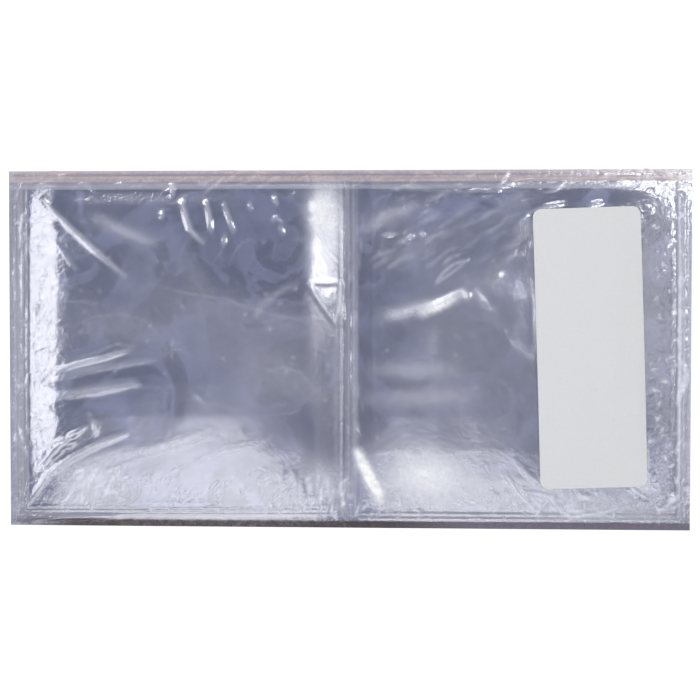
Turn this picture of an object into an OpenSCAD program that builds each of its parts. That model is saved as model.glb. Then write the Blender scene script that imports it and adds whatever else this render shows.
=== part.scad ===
// A bag of one hundred clear vinyl coin flips, laid open and stacked.
// Each flip is one long backing sheet with a welded pocket on either side of its
// fold crease, and both pockets open towards the crease.
// X runs along the opened flips, Y along their creases and Z up through the stack.
// The origin is the centre of the bag's underside.

/* [Flip] */
// Length of a flip that lies open
flip_l = 161; // [140:1:200]
// Width of a flip, along its crease
flip_w = 83; // [74:1:110]
// Thickness of each vinyl sheet
sheet_t = 0.15; // [0.1:0.01:0.25]
// Air between the two sheets of an empty pocket
pocket_gap = 0.03; // [0.02:0.01:0.08]
// Width of the welded rim round three sides of a pocket
weld_w = 3; // [2:0.5:6]
// Distance from the crease to the mouth of each pocket
mouth_x = 6; // [4:0.5:12]
// Width of the pressed crease
crease_w = 1; // [0.6:0.1:2]
// Depth to which the crease is pressed into its sheet
crease_d = 0.05; // [0.02:0.01:0.08]
// Clearance between a crease and the half that folds
fold_gap = 0.05; // [0.03:0.01:0.1]

/* [Stack] */
// Air between one flip and the next
flip_air = 0.02; // [0.01:0.01:0.05]
// How far a loose flip lies off the middle of the stack
stagger = 1.3; // [0.2:0.1:2]

/* [Bag] */
// Thickness of the bag's film
film_t = 0.05; // [0.03:0.01:0.12]
// Ease between the film's walls and the outermost flip
bag_ease = 0.15; // [0.1:0.05:1]
// Height of the pillow that the film makes over each pocket
bulge_h = 3; // [1:0.25:4]
// Height of the heat seal across each end
seal_h = 5; // [3:0.5:12]
// Distance from each end of a heat seal to the bag's side
seal_inset = 2; // [1:0.5:10]

/* [Label] */
// Length of the label
label_l = 66.7; // [40:0.1:72]
// Width of the label
label_w = 25.4; // [16:0.1:30]
// Radius of the label's corners
label_r = 2; // [1:0.5:5]
// Thickness of the label's paper
label_t = 0.1; // [0.06:0.01:0.2]
// Thickness of the adhesive under the paper
adhesive_t = 0.04; // [0.03:0.01:0.1]
// Distance from the bag's end to the nearer long edge of the label
label_inset = 11.3; // [6:0.1:16]
// Distance from the middle of the bag's width to the label's middle
label_y = 0.5; // [-5:0.1:5]
// Angle by which the label was stuck on crooked
label_tilt = 1.9; // [-4:0.1:4]

/* [Hidden] */
flip_t = 2 * sheet_t + pocket_gap;
pitch = flip_t + flip_air;
bag_l = flip_l + 2 * (stagger + bag_ease + film_t);
bag_w = flip_w + 2 * (stagger + bag_ease + film_t);

// How many flips lie in each bundle, how many bundles, and the numbers of the others
bundle_size = 10;
bundle_count = 9;
loose_flips = [91:97];
first_top_flip = 98;
flip_count = 100;
top_flips = [first_top_flip:flip_count];

// Angles, one for X and one for Y, by which each flip's place runs on from the last one's
lie_angle_x = 137.5;
lie_angle_y = 222.5;

// Underside of the top film, which is also the rim of the bag's walls
rim_z = film_t + flip_count * pitch;

// The pillow's rise along X is a sine to the first power, and along Y a cosine to the second
end_power_share = 1.2;
side_power_share = 0.7;

// Share of the film's rise that each top flip's backing has, from flip 98 up
backing_rise_shares = [0.2, 0.45, 0.7];
// Share of the film's rise by which a pocket's front stands over its backing
pocket_rise_share = 0.12;

// Cells of the domed sheets along X and Y, and of the label outwards and round it
flip_cells = [8, 8];
film_cells = [16, 14];
label_rings = 4;
label_sides = 48;

// Room between the film and the label's adhesive, as a share of the film's rise, because
// the flat facets of one cut the corners of the other
label_lift_share = 0.035;
label_lift = bulge_h * label_lift_share;

overrun = 1;

// How much of the light each clear sheet stops, from 0 to 1
film_alpha = 0.25;
vinyl_alpha = 0.5;

// Pillow area of a flip's pocket and of the film: inner end, outer end, half width
pocket_bed = [mouth_x, flip_l / 2 - weld_w, flip_w / 2 - weld_w];
film_bed = [0, bag_l / 2, bag_w / 2];

label_x = bag_l / 2 - label_inset - label_w / 2;

// Columns of a domed sheet, each its X and its half width
mouth_columns = [[mouth_x, flip_w / 2]];
bed_start = mouth_x + weld_w;
bed_columns = [
    for (i = [0:flip_cells[0]])
    [bed_start + (pocket_bed[1] - bed_start) * i / flip_cells[0], pocket_bed[2]]
];
front_columns = concat(mouth_columns, bed_columns);
film_columns = [
    for (i = [0:film_cells[0]])
    [film_bed[1] * i / film_cells[0], film_bed[2]]
];

function flip_z(number) = film_t + (number - 1) * pitch;

// Height of the unit pillow at a point, from 0 at its bed's edge to 1 in the middle
function pillow(x, y, bed) =
    let (u = (x - bed[0]) / (bed[1] - bed[0]), v = y / bed[2])
    u <= 0 || u >= 1 || abs(v) >= 1 ? 0
    : pow(sin(180 * u), end_power_share) * pow(cos(90 * v), side_power_share);

function lower_rise(number) = bulge_h * backing_rise_shares[number - first_top_flip];
function upper_rise(number) = lower_rise(number) + bulge_h * pocket_rise_share;

function film_top(x, y) = rim_z + film_t + bulge_h * pillow(x, y, film_bed);

// Faces between two sheets of points, where points run across each column in turn
function slab_faces(columns, rows) =
    let (m = rows + 1, top = columns * m, last = (columns - 1) * m)
    concat(
        [for (i = [0:columns - 2], j = [0:rows - 1]) let (a = i * m + j) [a, a + m, a + m + 1]],
        [for (i = [0:columns - 2], j = [0:rows - 1]) let (a = i * m + j) [a, a + m + 1, a + 1]],
        [for (i = [0:columns - 2], j = [0:rows - 1]) let (a = top + i * m + j) [a, a + m + 1, a + m]],
        [for (i = [0:columns - 2], j = [0:rows - 1]) let (a = top + i * m + j) [a, a + 1, a + m + 1]],
        [for (i = [0:columns - 2]) let (a = i * m) [a, a + top, a + m + top, a + m]],
        [for (i = [0:columns - 2]) let (a = i * m + rows) [a + m, a + m + top, a + top, a]],
        [for (j = [0:rows - 1]) [j + 1, j + 1 + top, j + top, j]],
        [for (j = [0:rows - 1]) let (a = last + j) [a, a + top, a + 1 + top, a + 1]]
    );

// A thin sheet that swells into a pillow over its bed
module domed_sheet(columns, rows, bed, rise, level, thickness) {
    low = [
        for (c = columns, j = [0:rows])
        let (y = c[1] * (2 * j / rows - 1))
        [c[0], y, level + rise * pillow(c[0], y, bed)]
    ];
    high = [for (p = low) [p[0], p[1], p[2] + thickness]];
    polyhedron(concat(low, high), slab_faces(len(columns), rows), convexity = 4);
}

// One flip as it comes from the welder, flat: backing, two pocket fronts and their rims
module welded_flip() {
    color("lightsteelblue", vinyl_alpha)
    difference() {
        translate([-flip_l / 2, -flip_w / 2, 0])
        cube([flip_l, flip_w, flip_t]);

        // Bare backing between the two mouths
        translate([-mouth_x, -flip_w / 2 - overrun, sheet_t])
        cube([2 * mouth_x, flip_w + 2 * overrun, flip_t]);

        // Pressed fold crease
        translate([-crease_w / 2, -flip_w / 2 - overrun, sheet_t - crease_d])
        cube([crease_w, flip_w + 2 * overrun, flip_t]);

        // Room inside the pockets
        for (side = [0, 1])
        mirror([side, 0, 0])
        translate([mouth_x - overrun, -pocket_bed[2], sheet_t])
        cube([pocket_bed[1] - mouth_x + overrun, 2 * pocket_bed[2], pocket_gap]);
    }
}

// A flip where it lies in the stack, a little off the middle
module stacked_flip(number) {
    shift_x = stagger * sin(number * lie_angle_x);
    shift_y = stagger * cos(number * lie_angle_y);
    translate([shift_x, shift_y, flip_z(number)])
    welded_flip();
}

module flip_bundle(index) {
    first = index * bundle_size + 1;
    for (number = [first:first + bundle_size - 1]) stacked_flip(number);
}

// Backing sheet of one half, from its inner edge to the welded rim
module half_backing(number, inner_x) {
    color("lightsteelblue", vinyl_alpha)
    domed_sheet(
        concat([[inner_x, flip_w / 2]], front_columns), flip_cells[1],
        pocket_bed, lower_rise(number), flip_z(number), sheet_t
    );
}

// Front sheet of one pocket, open at the mouth
module half_front(number) {
    color("lightblue", vinyl_alpha)
    domed_sheet(
        front_columns, flip_cells[1], pocket_bed,
        upper_rise(number), flip_z(number) + sheet_t + pocket_gap, sheet_t
    );
}

// Welded rim, where the two sheets are fused along three sides of a pocket
module half_weld(number) {
    color("steelblue", vinyl_alpha)
    translate([0, 0, flip_z(number)])
    linear_extrude(flip_t)
    polygon([
        [mouth_x, flip_w / 2],
        [bed_start, pocket_bed[2]],
        [pocket_bed[1], pocket_bed[2]],
        [pocket_bed[1], -pocket_bed[2]],
        [bed_start, -pocket_bed[2]],
        [mouth_x, -flip_w / 2],
        [flip_l / 2, -flip_w / 2],
        [flip_l / 2, flip_w / 2]
    ]);
}

// Pressed crease, the thinned strip about which the right half folds
module fold_crease(number) {
    color("slategray")
    translate([-crease_w / 2, -flip_w / 2, flip_z(number)])
    cube([crease_w, flip_w, sheet_t - crease_d]);
}

module left_backing(number) { mirror([1, 0, 0]) half_backing(number, crease_w / 2); }
module left_pocket_front(number) { mirror([1, 0, 0]) half_front(number); }
module left_weld(number) { mirror([1, 0, 0]) half_weld(number); }
module right_backing(number) { half_backing(number, crease_w / 2 + fold_gap); }
module right_pocket_front(number) { half_front(number); }
module right_weld(number) { half_weld(number); }

// Bottom and four walls of the bag
module bag_lower_film() {
    color("aliceblue", film_alpha)
    difference() {
        translate([-bag_l / 2, -bag_w / 2, 0])
        cube([bag_l, bag_w, rim_z]);

        translate([film_t - bag_l / 2, film_t - bag_w / 2, film_t])
        cube([bag_l - 2 * film_t, bag_w - 2 * film_t, rim_z]);
    }
}

module bag_top_film_left() {
    color("aliceblue", film_alpha)
    mirror([1, 0, 0])
    domed_sheet(film_columns, film_cells[1], film_bed, bulge_h, rim_z, film_t);
}

// This half starts a clearance off the crease, so that it can fold
module bag_top_film_right() {
    color("aliceblue", film_alpha)
    domed_sheet(
        [for (c = film_columns) [max(c[0], fold_gap), c[1]]],
        film_cells[1], film_bed, bulge_h, rim_z, film_t
    );
}

// Heat seal of two films, laid flat against the bag's end
module bag_end_seal() {
    color("lightgray")
    translate([bag_l / 2, seal_inset - bag_w / 2, (rim_z - seal_h) / 2])
    cube([2 * film_t, bag_w - 2 * seal_inset, seal_h]);
}

module bag_end_seal_left() { mirror([1, 0, 0]) bag_end_seal(); }
module bag_end_seal_right() { bag_end_seal(); }

// Where the label's corners lie from its middle, counterclockwise from the first
corner_shares = [[1, 1], [-1, 1], [-1, -1], [1, -1]];

// Point of the label's outline, a rectangle with round corners, drawn in by a share
function label_point(ring_share, angle) =
    let (
        corner = corner_shares[floor(angle / 90)],
        x = corner[0] * (label_w / 2 - label_r) + label_r * cos(angle),
        y = corner[1] * (label_l / 2 - label_r) + label_r * sin(angle)
    )
    ring_share * [x, y];

// Outline points in order round the label, with the long edges cut into even steps
function label_ring(ring_share) =
    let (corner_steps = label_sides / 8, edge_steps = label_sides / 8)
    [
        for (quarter = [0:3])
        let (
            a = label_point(ring_share, 90 * quarter),
            b = label_point(ring_share, 90 * quarter + 89.999),
            c = label_point(ring_share, (90 * quarter + 90) % 360)
        )
        each concat(
            [for (i = [0:corner_steps - 1])
                label_point(ring_share, 90 * quarter + 89.999 * i / corner_steps)],
            [for (i = [0:edge_steps - 1]) b + (c - b) * i / edge_steps]
        )
    ];

// Layer of the label, which follows the film that it is stuck to
module label_layer(lift, thickness) {
    flat = concat([[0, 0]], [for (r = [1:label_rings]) each label_ring(r / label_rings)]);
    turned = [
        for (p = flat)
        [
            label_x + p[0] * cos(label_tilt) - p[1] * sin(label_tilt),
            label_y + p[0] * sin(label_tilt) + p[1] * cos(label_tilt)
        ]
    ];
    low = [for (p = turned) [p[0], p[1], film_top(p[0], p[1]) + lift]];
    high = [for (p = low) [p[0], p[1], p[2] + thickness]];
    n = label_sides;
    top = len(low);
    outer = 1 + (label_rings - 1) * n;
    fan = [for (i = [0:n - 1]) [0, 1 + i, 1 + (i + 1) % n]];
    rings = [
        for (r = [0:label_rings - 2], i = [0:n - 1])
        let (a = 1 + r * n + i, b = 1 + r * n + (i + 1) % n)
        each [[a, a + n, b + n], [a, b + n, b]]
    ];
    upward = concat(fan, rings);
    polyhedron(
        concat(low, high),
        concat(
            upward,
            [for (f = upward) [f[2] + top, f[1] + top, f[0] + top]],
            [for (i = [0:n - 1]) let (a = outer + i, b = outer + (i + 1) % n) [a, a + top, b + top, b]]
        ),
        convexity = 4
    );
}

module label_adhesive() { color("wheat") label_layer(label_lift, adhesive_t); }
module label_paper() { color("white") label_layer(label_lift + adhesive_t, label_t); }

function two_digits(n) = n < 10 ? str("0", n) : str(n);

function bundle_name(index) =
    str("flips_", two_digits(index * bundle_size + 1), "_to_", two_digits((index + 1) * bundle_size));

function flip_name(number) = str("flip_", number);

top_pieces = [
    "left_backing", "left_pocket_front", "left_weld", "fold_crease",
    "right_backing", "right_pocket_front", "right_weld"
];

bag_lower_film();
bag_end_seal_left();
bag_end_seal_right();
bag_top_film_left();
bag_top_film_right();
label_adhesive();
label_paper();
for (i = [0:bundle_count - 1]) flip_bundle(i);
for (n = loose_flips) stacked_flip(n);
for (n = top_flips) {
    left_backing(n);
    left_pocket_front(n);
    left_weld(n);
    fold_crease(n);
    right_backing(n);
    right_pocket_front(n);
    right_weld(n);
}
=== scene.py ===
"""Looks of a film bag of clear vinyl coin flips, laid open and stacked, with a blank label."""

import math
from functools import partial

import bpy
import numpy as np
from mathutils import Matrix, Vector


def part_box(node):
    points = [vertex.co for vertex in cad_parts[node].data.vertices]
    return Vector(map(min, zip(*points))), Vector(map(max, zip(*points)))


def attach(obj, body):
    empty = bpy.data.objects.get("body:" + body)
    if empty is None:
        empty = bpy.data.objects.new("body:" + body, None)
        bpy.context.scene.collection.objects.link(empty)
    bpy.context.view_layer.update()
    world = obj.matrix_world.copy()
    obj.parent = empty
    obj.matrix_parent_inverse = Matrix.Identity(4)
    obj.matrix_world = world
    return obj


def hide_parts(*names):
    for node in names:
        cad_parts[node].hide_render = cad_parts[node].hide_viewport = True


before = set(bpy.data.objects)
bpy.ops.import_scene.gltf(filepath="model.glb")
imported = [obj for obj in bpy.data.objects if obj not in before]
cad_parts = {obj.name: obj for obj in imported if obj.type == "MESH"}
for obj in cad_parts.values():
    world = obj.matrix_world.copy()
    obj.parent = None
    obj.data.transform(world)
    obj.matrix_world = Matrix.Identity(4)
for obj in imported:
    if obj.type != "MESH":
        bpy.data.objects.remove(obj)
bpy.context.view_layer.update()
scene = bpy.context.scene
scene.view_settings.view_transform = "Standard"

MM = 0.001

# Camera: almost straight above, where the photograph's perspective puts it
LENS = 80
SENSOR = 36
IMAGE_SIDE = 700
camera_data = bpy.data.cameras.new("camera")
camera_data.lens = LENS
camera_data.sensor_width = SENSOR
camera = bpy.data.objects.new("camera", camera_data)
camera.location = (20.02 * MM, 11.7 * MM, 408.25 * MM)
camera.rotation_euler = [math.radians(a) for a in (-1.808, 2.949, 0.047)]
scene.collection.objects.link(camera)
scene.camera = camera

# Many clear sheets lie on each other, and light has to get through them all
scene.cycles.transparent_max_bounces = 40
scene.cycles.max_bounces = 14


# Sizes, in millimetres: the solids' own where they have them
def node_box(name):
    """Lowest and highest corner of a solid, in millimetres."""
    low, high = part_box(name)
    return np.array(low) / MM, np.array(high) / MM


BAG_X, BAG_Y, RIM_Z = node_box("bag_lower_film")[1]
FILM_T = 0.05
FILM_TOP_Z = RIM_Z + FILM_T
BULGE = 3.0
WALL_RIPPLES, WALL_PUFF = 46, 0.35
SEAL_T = 0.1
RIB_H, RIB_PITCH = 0.12, 1.5

weld_low, weld_high = node_box("flip_100_right_weld")
MOUTH_X, FLIP_X, FLIP_Y = weld_low[0], weld_high[0], weld_high[1]
WELD_W = 3.0
BED_X, BED_Y = FLIP_X - WELD_W, FLIP_Y - WELD_W
POCKET_MIDDLE = 42.0
SHEET_T = 0.15
POCKET_GAP = 0.03
FLIP_T = 2 * SHEET_T + POCKET_GAP
CREASE_W = 1.0
CREASE_SHEET_T = 0.07
GROOVE_H, GROOVE_W = 0.03, 0.3
FOLD_GAP = 0.05
LOWEST_TOP_FLIP = 98
TOP_FLIPS = (LOWEST_TOP_FLIP, 99, 100)
BACKING_RISE = {98: 0.6, 99: 1.35, 100: 2.1}
POCKET_RISE = 0.36
LIP_H, LIP_W = 0.2, 0.7
# Lines pressed into the weld: how far in from the last one, then how far up or down
WELD_LINES = ((0.55, -0.03), (0.25, 0.02), (0.35, -0.02))
# The gap between sheets that touch, and how near a point is to count as there
HAIR = 0.01

LABEL_W, LABEL_L, LABEL_R = 25.4, 66.7, 2.0
LABEL_X, LABEL_Y, LABEL_TILT = 58.0, 0.5, math.radians(1.9)
LABEL_T, ADHESIVE_T, ADHESIVE_INSET = 0.1, 0.04, 0.25

# Bodies: what stays, and the half that the film's right side and the label ride on
STILL = "pack"
TURNING = "flip_100_right_half"


# Places in the photograph
def on_film(px, py, height=36.4):
    """Place in millimetres, on the bag's top, of a pixel of the photograph."""
    focus = LENS / SENSOR * IMAGE_SIDE
    ray = Vector(((px - IMAGE_SIDE / 2) / focus, (IMAGE_SIDE / 2 - py) / focus, -1))
    ray = camera.rotation_euler.to_matrix() @ ray
    start = camera.location / MM
    reach = (height - start.z) / ray.z
    return start.x + reach * ray.x, start.y + reach * ray.y


# Modelling helpers
def deselect_all():
    bpy.ops.object.select_all(action="DESELECT")


def pick(piece):
    """Makes a piece active, and the only one that is selected."""
    deselect_all()
    piece.select_set(True)
    bpy.context.view_layer.objects.active = piece


def points_of(piece):
    """Points of a piece's mesh, in millimetres."""
    flat = np.zeros(len(piece.data.vertices) * 3)
    piece.data.vertices.foreach_get("co", flat)
    return flat.reshape(-1, 3) / MM


def set_points(piece, points):
    piece.data.vertices.foreach_set("co", (points * MM).astype(np.float32).ravel())
    piece.data.update()


def add_sheet(name, columns, rows):
    """Grid primitive with its lines at the given columns and rows, in millimetres."""
    deselect_all()
    across, along = len(columns) - 1, len(rows) - 1
    bpy.ops.mesh.primitive_grid_add(
        x_subdivisions=across, y_subdivisions=along, size=1, location=(0, 0, 0)
    )
    piece = bpy.context.active_object
    piece.name = piece.data.name = name
    points = points_of(piece)
    column = np.rint((points[:, 0] * MM + 0.5) * across).astype(int)
    row = np.rint((points[:, 1] * MM + 0.5) * along).astype(int)
    points[:, 0] = np.asarray(columns)[column]
    points[:, 1] = np.asarray(rows)[row]
    set_points(piece, points)
    return piece


def even_steps(start, end, step):
    return np.linspace(start, end, max(2, round(abs(end - start) / step) + 1))


def joined(*runs):
    """One row of lines out of several runs: each but the last gives its end to the next."""
    return np.concatenate([run[:-1] for run in runs[:-1]] + [runs[-1]])


def apply_modifier(piece, kind, **settings):
    pick(piece)
    modifier = piece.modifiers.new(kind.lower(), kind)
    for setting, value in settings.items():
        setattr(modifier, setting, value)
    bpy.ops.object.modifier_apply(modifier=modifier.name)


def thicken(piece, thickness):
    """Gives a sheet its thickness below the surface that it has now."""
    apply_modifier(piece, "SOLIDIFY", thickness=thickness * MM, offset=-1)


def delete_faces(piece, test):
    """Deletes the faces that pass the test, and stays in edit mode."""
    bpy.ops.object.mode_set(mode="OBJECT")
    for edge in piece.data.edges:
        edge.select = False
    for point in piece.data.vertices:
        point.select = False
    for face in piece.data.polygons:
        face.select = bool(test(face))
    bpy.ops.object.mode_set(mode="EDIT")
    bpy.ops.mesh.select_mode(type="FACE")
    bpy.ops.mesh.delete(type="FACE")


def finish(piece, body, slot, material, *nodes):
    """Smooths a piece, gives it its material and its body, and hides the solids it stands for."""
    pick(piece)
    bpy.ops.object.shade_smooth_by_angle(angle=math.radians(50))
    piece.data.materials.clear()
    piece.data.materials.append(material)
    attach(piece, body)
    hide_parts(*nodes)


# Materials
FILM_IOR = 1.51
VINYL_IOR = 1.54
MOST_MIRRORED = 0.6


def colour(code):
    """Linear colour of an sRGB hex value."""
    parts = [int(code[i:i + 2], 16) / 255 for i in (0, 2, 4)]
    linear = [c / 12.92 if c <= 0.04045 else ((c + 0.055) / 1.055) ** 2.4 for c in parts]
    return (*linear, 1)


def add_node(tree, kind, inputs=None, **settings):
    """Adds a node, sets it up and links it. A node as an input stands for its first output."""
    made = tree.nodes.new("ShaderNode" + kind)
    for setting, value in settings.items():
        setattr(made, setting, value)
    for socket, value in (inputs or {}).items():
        if isinstance(value, bpy.types.Node):
            value = value.outputs[0]
        if isinstance(value, bpy.types.NodeSocket):
            tree.links.new(value, made.inputs[socket])
        else:
            made.inputs[socket].default_value = value
    return made


def make_material(name, surface, *values):
    """Material with the surface that a function makes from nodes, the place on the piece and values."""
    material = bpy.data.materials.new(name)
    material.use_nodes = True
    material.node_tree.nodes.clear()
    add = partial(add_node, material.node_tree)
    made = surface(add, add("TexCoord").outputs["Object"], *values)
    add("OutputMaterial", {"Surface": made})
    return material


def clear_film(add, bump, tint, glint, gain, least, roughness):
    """Film that is clear from above and mirrors more the flatter it is looked along."""
    gloss = add("BsdfPrincipled", {
        "Base Color": colour(glint), "Metallic": 1.0, "Roughness": roughness, "Normal": bump,
    })
    bend = add("Fresnel", {"IOR": FILM_IOR, "Normal": bump})
    share = add("Math", {0: bend, 1: gain, 2: least}, operation="MULTIPLY_ADD")
    capped = add("Math", {0: share, 1: MOST_MIRRORED}, operation="MINIMUM")
    clear = add("BsdfTransparent", {"Color": colour(tint)})
    return add("MixShader", {0: capped, 1: clear, 2: gloss})


# Polythene film: blown, clear and glossy, drawn into fine creases, milky where it is stretched, with
# painted highlights, a painted warm reflection and painted dark shade in its milky layer
def bag_film(add, place):
    # Creases about 1 mm apart run out from the middle of each half
    run = add("Attribute", attribute_name="crease_place").outputs["Vector"]
    crinkle = add("Attribute", attribute_name="crinkle").outputs["Fac"]
    painted_light_and_milk = add("Attribute", attribute_name="milk_and_painted_light_share").outputs["Fac"]
    # Colour of the milky layer, which holds painted highlights, a painted reflection and painted shade
    tone = add("Attribute", attribute_name="milk_and_painted_light_colour").outputs["Color"]
    streaks = add("TexNoise", {"Vector": run, "Scale": 1, "Detail": 2, "Roughness": 0.55})
    # Small dents about 1.5 mm apart
    dents = add("TexNoise", {"Vector": place, "Scale": 650, "Detail": 2, "Distortion": 1.0})
    rough_height = add("Math", {0: streaks, 1: dents}, operation="ADD")
    fine_height = add("Math", {0: rough_height, 1: crinkle}, operation="MULTIPLY")
    bump = add("Bump", {"Height": fine_height, "Strength": 1.0, "Distance": 0.22 * MM})
    film = clear_film(add, bump, "FDFDFF", "F7F7FB", 2.4, 0.03, 0.17)
    haze = add("BsdfPrincipled", {"Base Color": tone, "Roughness": 0.5, "IOR": FILM_IOR})
    mottled = add("Math", {0: dents, 1: 0.9, 2: 0.5}, operation="MULTIPLY_ADD")
    share = add("Math", {0: mottled, 1: painted_light_and_milk}, operation="MULTIPLY", use_clamp=True)
    return add("MixShader", {0: share, 1: film, 2: haze})


# The same film down the sides, slack: clear, with ripples about 2.5 mm apart
def slack_film(add, place):
    ripple = add("TexNoise", {"Vector": place, "Scale": 400, "Detail": 3})
    bump = add("Bump", {"Height": ripple, "Strength": 0.7, "Distance": 0.2 * MM})
    return clear_film(add, bump, "ECEEF6", "F3F4FA", 2.0, 0.05, 0.16)


# The same film twice, melted together under a ribbed bar: milky in patches about 3 mm across
def heat_seal(add, place):
    cloud = add("TexNoise", {"Vector": place, "Scale": 300, "Detail": 2})
    bump = add("Bump", {"Height": cloud, "Strength": 0.5, "Distance": 0.1 * MM})
    film = clear_film(add, bump, "F2F3F9", "FFFFFF", 2.0, 0.25, 0.25)
    milky = add("BsdfPrincipled", {
        "Base Color": colour("F2F3FA"), "Roughness": 0.4, "IOR": FILM_IOR,
    })
    share = add("Math", {0: cloud, 1: 0.4}, operation="MULTIPLY")
    return add("MixShader", {0: share, 1: film, 2: milky})


# Calendered soft vinyl sheet: glossy, faintly blue, with slow flow marks
def vinyl_sheet(add, place, dark, light, alpha, roughness):
    # Clouds about 20 mm across
    cloud = add("TexNoise", {
        "Vector": place, "Scale": 45, "Detail": 5, "Roughness": 0.6, "Distortion": 1.6,
    })
    spread = add("MapRange", {0: cloud, 1: 0.35, 2: 0.65})
    cloudy = add("Mix", {0: spread, 6: colour(dark), 7: colour(light)}, data_type="RGBA")
    # Where two sheets cling they look darker, in patches about 25 mm across with a pale edge
    contact = add("TexNoise", {
        "Vector": place, "Scale": 38, "Detail": 3, "Roughness": 0.45, "Distortion": 2.2,
    })
    clinging = add(
        "MapRange", {0: contact, 1: 0.49, 2: 0.51, 4: 0.85}, interpolation_type="SMOOTHSTEP"
    )
    patchy = add("Mix", {0: clinging, 6: cloudy.outputs[2], 7: colour(dark)}, data_type="RGBA")
    off_edge = add("Math", {0: contact, 1: 0.488}, operation="SUBTRACT")
    from_edge = add("Math", {0: off_edge}, operation="ABSOLUTE")
    pale_edge = add("MapRange", {0: from_edge, 1: 0.0, 2: 0.01, 3: 0.7, 4: 0.0})
    tone = add("Mix", {0: pale_edge, 6: patchy.outputs[2], 7: colour(light)}, data_type="RGBA")
    # Ripples about 6 mm apart
    ripple = add("TexNoise", {"Vector": place, "Scale": 160, "Detail": 0})
    bump = add("Bump", {"Height": ripple, "Strength": 0.2, "Distance": 0.05 * MM})
    # No air between clinging sheets, so they mirror less
    mirroring = add("Math", {0: clinging, 1: -0.5, 2: 1.0}, operation="MULTIPLY_ADD")
    return add("BsdfPrincipled", {
        "Base Color": tone.outputs[2], "Roughness": roughness, "IOR": VINYL_IOR, "Alpha": alpha,
        "Specular IOR Level": mirroring, "Normal": bump,
    })


# Welded vinyl rim: the edges of many sheets show through it as light and dark lines along it
def welded_rim(add, place):
    # The lines follow the long sides by Y and the ends by X, about 0.6 mm apart
    at = add("SeparateXYZ", {0: place})
    off_middle = add("Math", {0: at.outputs["Y"]}, operation="ABSOLUTE")
    on_long_side = add("Math", {0: off_middle, 1: BED_Y * MM}, operation="GREATER_THAN")
    across = add(
        "Mix", {0: on_long_side, 2: at.outputs["X"], 3: at.outputs["Y"]}, data_type="FLOAT"
    )
    lines = add(
        "TexNoise", {"W": across, "Scale": 1500, "Detail": 1, "Roughness": 0.5},
        noise_dimensions="1D",
    )
    spread = add("MapRange", {0: lines, 1: 0.3, 2: 0.7}, interpolation_type="SMOOTHSTEP")
    tone = add("Mix", {0: spread, 6: colour("8685A1"), 7: colour("AEADC2")}, data_type="RGBA")
    return add("BsdfPrincipled", {
        "Base Color": tone.outputs[2], "Roughness": 0.25, "IOR": VINYL_IOR,
        "Specular IOR Level": 1.0, "Alpha": 0.6,
    })


# Many vinyl sheets on each other: the faces look blue grey, the cut edges run in pale lines, painted
# lighter against the shade that falls on the stack's sides
def stacked_sheets(add, place):
    # Clouds about 45 mm across on the faces
    cloud = add("TexNoise", {"Vector": place, "Scale": 22, "Detail": 5})
    spread = add("MapRange", {0: cloud, 1: 0.3, 2: 0.7})
    face_tone = add("Mix", {0: spread, 6: colour("525C90"), 7: colour("7A82B0")}, data_type="RGBA")
    # The welded rim round the uppermost of them is paler than its pockets
    at = add("SeparateXYZ", {0: place})
    beyond = []
    for axis, bed in (("X", BED_X), ("Y", BED_Y)):
        off_middle = add("Math", {0: at.outputs[axis]}, operation="ABSOLUTE")
        beyond.append(add("Math", {0: off_middle, 1: bed * MM}, operation="GREATER_THAN"))
    on_rim = add("Math", {0: beyond[0], 1: beyond[1]}, operation="MAXIMUM")
    top_tone = add("Mix", {0: on_rim, 6: face_tone.outputs[2], 7: colour("9C9EBC")}, data_type="RGBA")
    # One line for each 0.35 mm at the edges
    layered = add("Mapping", {"Vector": place, "Scale": (12, 12, 2900)})
    lines = add("TexNoise", {"Vector": layered, "Scale": 1, "Detail": 1})
    # Painted light: the edge lines are made lighter to stand against the shade on the stack's sides
    edge_lines_painted_lighter = add("Mix", {0: lines, 6: colour("7D83A6"), 7: colour("E4E6F4")}, data_type="RGBA")
    facing = add("SeparateXYZ", {0: add("NewGeometry").outputs["Normal"]})
    level = add("Math", {0: facing.outputs["Z"]}, operation="ABSOLUTE")
    tone = add("Mix", {0: level, 6: edge_lines_painted_lighter.outputs[2], 7: top_tone.outputs[2]}, data_type="RGBA")
    return add("BsdfPrincipled", {
        "Base Color": tone.outputs[2], "Roughness": 0.3, "IOR": VINYL_IOR,
        "Specular IOR Level": 1.0,
    })


# Coated label paper: matt white with a faint fibre and a hint of gloss
def label_paper(add, place):
    # Fibres about 0.6 mm apart, drawn coarser than the real 0.05 mm so that they show
    fibre = add("TexNoise", {"Vector": place, "Scale": 1600, "Detail": 4})
    tone = add("Mix", {0: fibre, 6: colour("DADADC"), 7: colour("E2E2E3")}, data_type="RGBA")
    bump = add("Bump", {"Height": fibre, "Strength": 0.15, "Distance": 0.02 * MM})
    return add("BsdfPrincipled", {
        "Base Color": tone.outputs[2], "Roughness": 0.55, "IOR": 1.45, "Normal": bump,
    })


# Acrylic label adhesive: clear, slightly yellow, thicker and thinner in spots about 1.5 mm across
def label_glue(add, place):
    cloud = add("TexNoise", {"Vector": place, "Scale": 700, "Detail": 2})
    tone = add("Mix", {0: cloud, 6: colour("CFC9B6"), 7: colour("DED9C8")}, data_type="RGBA")
    return add("BsdfPrincipled", {
        "Base Color": tone.outputs[2], "Roughness": 0.3, "IOR": 1.47, "Alpha": 0.8,
    })


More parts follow.
